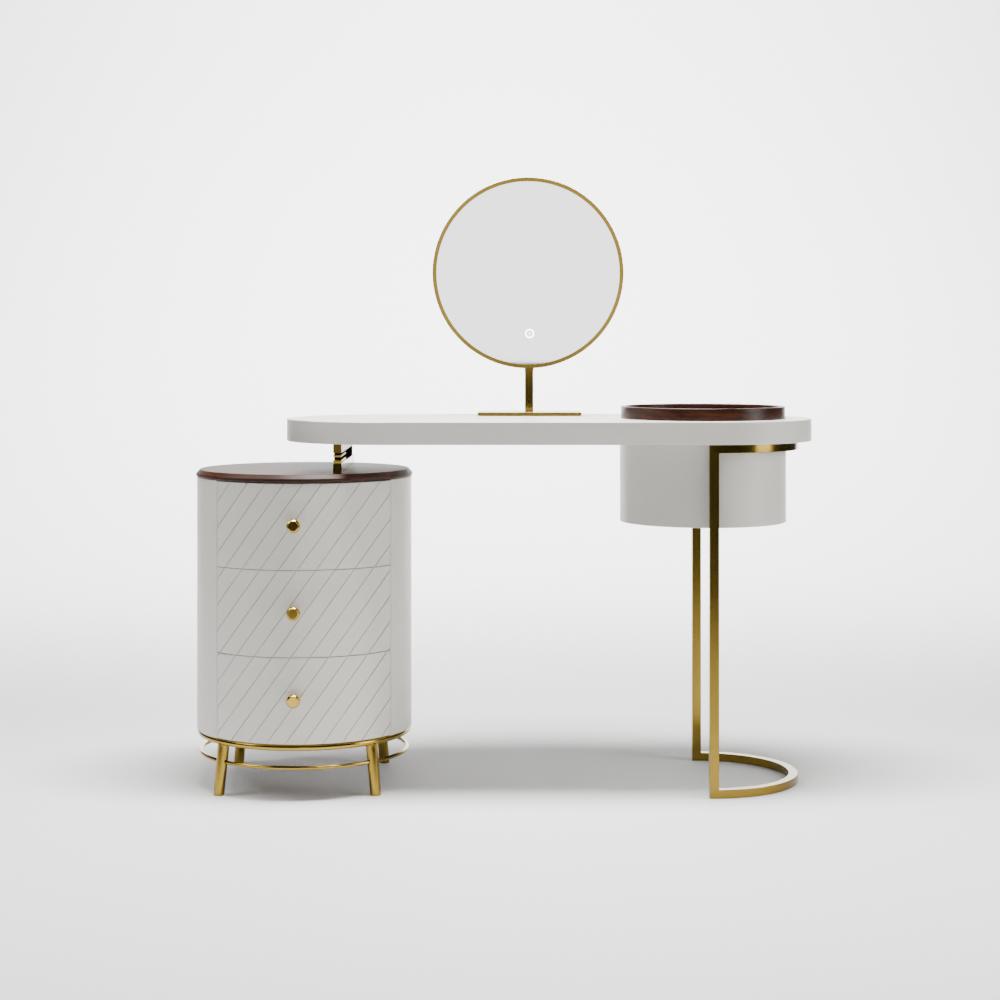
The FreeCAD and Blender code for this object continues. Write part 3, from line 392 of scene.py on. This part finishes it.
def eased_bar(name, low, high, axis, radius=EDGE_EASE, end_radius=EDGE_EASE):
    """A straight bar that fills the box from low to high, with its long edges and its ends rounded. Each
    end closes in by the sagitta of its rounding."""
    low, high = np.array(low), np.array(high)
    others = [k for k in range(3) if k != axis]
    if axis == 1:
        others.reverse()
    wide, tall = high[others[0]] - low[others[0]], high[others[1]] - low[others[1]]
    ends = end_radius * EASE_STEPS
    along = np.concatenate([low[axis] + ends, high[axis] - ends[::-1]])
    shrink = eased(np.minimum(along - low[axis], high[axis] - along), end_radius)
    section = bar_section(wide, tall, radius)
    grid = np.zeros((along.size, len(section), 3))
    factor = 1 - 2 * shrink[:, None] / np.array([wide, tall])
    middle = (low + high) / 2
    for k in range(2):
        grid[..., others[k]] = middle[others[k]] + section[None, :, k] * factor[:, k : k + 1]
    grid[..., axis] = along[:, None]
    return soften(closed_tube(name, grid))


def soften(piece):
    """Points each corner's normal along the area-weighted mean of the faces round its vertex, so that
    broad flats stay flat beside narrow roundings."""
    mesh = piece.data
    faces, corners = len(mesh.polygons), len(mesh.loops)
    normal, area = np.empty(faces * 3), np.empty(faces)
    count, vertex = np.empty(faces, dtype=int), np.empty(corners, dtype=int)
    mesh.polygons.foreach_get("normal", normal)
    mesh.polygons.foreach_get("area", area)
    mesh.polygons.foreach_get("loop_total", count)
    mesh.loops.foreach_get("vertex_index", vertex)
    total = np.zeros((len(mesh.vertices), 3))
    np.add.at(total, vertex, np.repeat(normal.reshape(-1, 3) * area[:, None], count, axis=0))
    total /= np.maximum(np.linalg.norm(total, axis=1, keepdims=True), 1e-12)
    mesh.edges.foreach_set("use_edge_sharp", np.zeros(len(mesh.edges), dtype=bool))
    mesh.normals_split_custom_set_from_vertices(total)
    return piece


def stand_in(piece, node, finish, body="table"):
    """Rides a new piece on its body, hides the CAD node that it stands for, and gives it its finish."""
    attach(piece, body)
    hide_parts(node)
    finish.dress(piece)


for post in ("front_post", "rear_post"):
    bar = eased_bar(f"brass_{post}", *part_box(post), axis=2, end_radius=WELD_EASE)
    stand_in(bar, post, upright_brass)


def hoop_grid(low, high, bar):
    """A half ring of bar with straight ends. The middle line is a half circle, with a short straight run
    to each end; the section stands square to it. Its edges are sharp where a post is welded on, and grow
    round over a short run beside the post."""
    outer = (high.y - low.y) / 2
    middle = outer - bar / 2
    centre = np.array([high.x - outer, (low.y + high.y) / 2, (low.z + high.z) / 2])
    angle = np.linspace(-math.pi / 2, math.pi / 2, 121)
    ends = BAR_END_EASE * EASE_STEPS
    run = centre[0] - low.x
    lead = np.concatenate([-run + ends, [-0.1 * MM]])
    zero = np.zeros_like(lead)
    x = np.concatenate([lead, middle * np.cos(angle), lead[::-1]])
    y = np.concatenate([zero - middle, middle * np.sin(angle), zero + middle])
    out_x = np.concatenate([zero, np.cos(angle), zero])
    out_y = np.concatenate([zero - 1, np.sin(angle), zero + 1])
    path = centre + np.stack([x, y, np.zeros_like(x)], -1)
    side = np.stack([out_x, out_y, np.zeros_like(x)], -1)
    up = np.broadcast_to(np.array([0.0, 0.0, 1.0]), side.shape).copy()
    close = np.ones(len(path))
    close[: ends.size] = 1 - 2 * eased(ends, BAR_END_EASE) / bar
    close[-ends.size :] = close[: ends.size][::-1]
    share = np.clip((x + run - bar) / WELD_RUN, 0, 1)[:, None, None]
    tall = high.z - low.z
    section = bar_section(bar, tall, WELD_EASE) * (1 - share) + bar_section(bar, tall, EDGE_EASE) * share
    return carried(section, path, side * close[:, None], up * close[:, None])


post_low, post_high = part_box("front_post")
hoop_brass = brushed_brass("brass_brushed_hoop", (200, 200, 900))
for hoop in ("floor_hoop", "top_hoop"):
    grid = hoop_grid(*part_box(hoop), post_high.x - post_low.x)
    stand_in(soften(closed_tube(f"brass_{hoop}", grid)), hoop, hoop_brass)

# ---- bracket between the top and the chest ------------------------------------------------------
# Two brass bars screwed under the top and on the chest, with two brass bands between their front
# parts and a near-black spacer behind and between the bands. The brass edges are softly rounded.
RIB_TALL, BAND_TALL = 4.5 * MM, 7.5 * MM
bracket_brass = brushed_brass("brass_brushed_bracket", (900, 14, 900), 0.34)
deep_brass = brushed_brass("brass_brushed_deep", (900, 14, 900), 0.16)
upper_bar = eased_bar("brass_bracket_upper_bar", *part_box("bracket_upper_bar"), axis=1)
stand_in(upper_bar, "bracket_upper_bar", bracket_brass)
lower_bar = eased_bar("brass_bracket_lower_bar", *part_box("bracket_lower_bar"), axis=1)
stand_in(lower_bar, "bracket_lower_bar", deep_brass)
low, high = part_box("bracket_bands")
rib = eased_bar("brass_bracket_rib", (low.x, low.y, high.z - RIB_TALL), high, axis=1, radius=1.8 * MM,
                end_radius=2.0 * MM)
band = eased_bar("brass_bracket_band", low, (high.x, high.y, low.z + BAND_TALL), axis=1, radius=2.4 * MM,
                 end_radius=3.0 * MM)
# Painted highlight: the bands' brass is painted nearly three times lighter than the rest, standing in for
# light caught on their round faces.
bands_brass_painted_lighter = brushed_brass("brass_bands_painted_lighter", (900, 14, 900), 0.40, 2.9)
for piece in (rib, band):
    stand_in(piece, "bracket_bands", bands_brass_painted_lighter)
# The spacer between the bands is coloured near black, with its specular reflection turned off.
near_black_spacer_finish = Finish("near_black_no_reflection", (0.006, 0.005, 0.004), 0.8)
near_black_spacer_finish.shader.inputs["Specular IOR Level"].default_value = 0.0
near_black_spacer_finish.to("Roughness", near_black_spacer_finish.span(near_black_spacer_finish.noise(90, 3), 0.7, 0.9))
near_black_spacer_finish.dress("bracket_spacer")

# ---- drawer knobs ----------------------------------------------------------------------------
# Small cast brass knobs, polished bright: a round foot on the front, a waisted neck and a broad head.
# The head is round at its rim and ground to a flat eight-sided face.
polished = Finish("polished_brass", (0.54, 0.36, 0.07), 0.12, 1.0)
polished.to("Roughness", polished.span(polished.noise(90, 4, 0.6), 0.07, 0.18))
polished.to("Base Color", polished.mix(polished.noise(30, 3), (0.50, 0.32, 0.055), (0.58, 0.39, 0.08)))


def knob_grid(centre, face, reach, radius):
    """A knob turned about a line towards the front. The profile gives a radius for each distance from
    the drawer front; near the face, the radius is pulled in to the sides of an octagon."""
    profile = np.array([
        (0, 0), (9.6, 0), (10.2, 0.4), (10.4, 1.0), (10.2, 1.7), (9.6, 2.1), (7.8, 3.0), (6.6, 4.6),
        (6.2, 7.0), (6.6, 9.0), (8.4, 10.6), (10.8, 11.4), (12.4, 12.2), (13.5, 13.5), (14.0, 15.2),
        (13.9, 16.9), (13.4, 18.6), (12.6, 20.0), (12.1, 20.6), (11.6, 21.0), (10.4, 23.2), (10.1, 23.7),
        (9.6, 24.0), (5.0, 24.0), (0, 24.0),
    ]) * MM
    profile = profile * np.array([radius / (14 * MM), reach / (24 * MM)])
    angle = np.linspace(0, 2 * math.pi, 96, endpoint=False)
    eighth = math.pi / 4
    flat = math.cos(eighth / 2) / np.cos((angle + eighth / 2) % eighth - eighth / 2)
    share = np.clip((profile[:, 1] / reach - 0.80) / 0.07, 0, 1)
    spread = profile[:, 0:1] * (1 + share[:, None] * (flat[None, :] * 1.03 - 1))
    x = centre[0] + spread * np.cos(angle)
    y = face - np.broadcast_to(profile[:, 1:2], spread.shape)
    z = centre[1] + spread * np.sin(angle)
    return np.stack([x, y, z], -1)


for drawer in ("bottom", "middle", "top"):
    low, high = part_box(f"{drawer}_drawer_knob")
    face = chest_y - chest_radius
    grid = knob_grid((chest_x, (low.z + high.z) / 2), face, face - low.y, (high.x - low.x) / 2)
    knob = tidy_skin(sheet_from_grid(f"{drawer}_knob", grid, loop=True), sharp=28)
    stand_in(knob, f"{drawer}_drawer_knob", polished, f"{drawer}_drawer")

# ---- inside the drawers and the chest ----------------------------------------------------------
# Drawer boxes of pale birch ply with a clear matt lacquer; the grain runs along each board. Steel
# runners, bright zinc, are fixed to panels that stand between floor and ceiling.
birch = Finish("birch_board", (0.62, 0.5, 0.36), 0.5)
birch_grain = birch.noise(1.0, 5, 0.6, 0.8, birch.stretched((40, 5, 70)))
birch.to("Base Color", birch.ramp(birch_grain, (0.3, (0.52, 0.40, 0.27)), (0.5, (0.62, 0.5, 0.36)),
                                  (0.75, (0.70, 0.59, 0.45))))
birch.bump(birch_grain, 0.00008, 0.4)
for drawer in ("bottom", "middle", "top"):
    birch.dress(f"{drawer}_drawer_walls", f"{drawer}_drawer_bottom")
birch.dress("runner_panels", "dust_boards", "drum_dowels")
zinc = Finish("zinc_steel", (0.56, 0.57, 0.58), 0.34, 1.0)
zinc.to("Roughness", zinc.span(zinc.noise(300, 3), 0.26, 0.42))
for drawer in ("bottom", "middle", "top"):
    zinc.dress(f"{drawer}_drawer_runners")
zinc.dress("runner_channels", "top_screws", "base_screws", "mirror_stand_bolt", "hinge_lug_screws")

# ---- mirror stand ------------------------------------------------------------------------------
# A flat bar post bolted to a heavy plate, both brushed brass, on a thin felt pad. The post's top is
# forked, and a pin through it carries the lug on the mirror's back.
# Painted shade: the plate's brass is painted at about half the lightness and the post's a little darker, as
# shaded copies of the same brass.
plate_brass = brushed_brass("brass_plate_painted_darker", (14, 900, 900), 0.15, 0.55)
post_brass = brushed_brass("brass_post_painted_darker", (900, 900, 14), 0.09, 0.9)
plate = eased_bar("brass_base_plate", *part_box("mirror_base_plate"), axis=0, radius=1.2 * MM)
stand_in(plate, "mirror_base_plate", plate_brass)
post_brass.dress("mirror_post", "post_collar", "hinge_pin", "hinge_lug")
felt = Finish("black_felt", (0.02, 0.018, 0.017), 0.95)
felt.bump(felt.noise(1800, 3), 0.0004, 0.6)
felt.dress("mirror_base_pad")

# ---- mirror ------------------------------------------------------------------------------------
# A deep thin brass ring holds silvered glass against its front lip. Light comes from a strip behind the
# glass; the ring-shaped touch mark is frosted through the silver. The back is a moulded cover.
frame_brass = brushed_brass("brass_mirror_ring", (220, 900, 220), 0.11)
frame_brass.dress("mirror_frame")
silver = Finish("silvered_glass", (0.90, 0.905, 0.905), 0.02, 1.0)
silver.to("Roughness", silver.span(silver.noise(2.5, 2), 0.015, 0.04))
silver.dress("mirror_glass")
mark = Finish("lit_touch_mark", (0.95, 0.95, 0.95), 0.6)
mark.shader.inputs["Emission Color"].default_value = (1, 1, 1, 1)
mark.shader.inputs["Emission Strength"].default_value = 8.0
mark.to("Base Color", mark.ramp(mark.noise(900, 2), (0.3, (0.88, 0.88, 0.87)), (0.7, (0.97, 0.97, 0.97))))
mark.dress("touch_icon")
cover = Finish("moulded_cover", (0.60, 0.585, 0.56), 0.5)
cover.bump(cover.noise(1500, 2), 0.00006, 0.6)
cover.to("Roughness", cover.span(cover.noise(14, 3), 0.44, 0.56))
cover.dress("mirror_back_cover")
milky = Finish("milky_strip", (0.9, 0.88, 0.82), 0.4)
milky.to("Roughness", milky.span(milky.noise(60, 2), 0.35, 0.5))
milky.dress("led_strip")
moulding = Finish("black_moulding", (0.015, 0.015, 0.016), 0.35)
moulding.to("Roughness", moulding.span(moulding.noise(120, 3), 0.3, 0.45))
moulding.dress("touch_sensor", "power_socket", "led_driver", "frame_glides", "leg_glides")
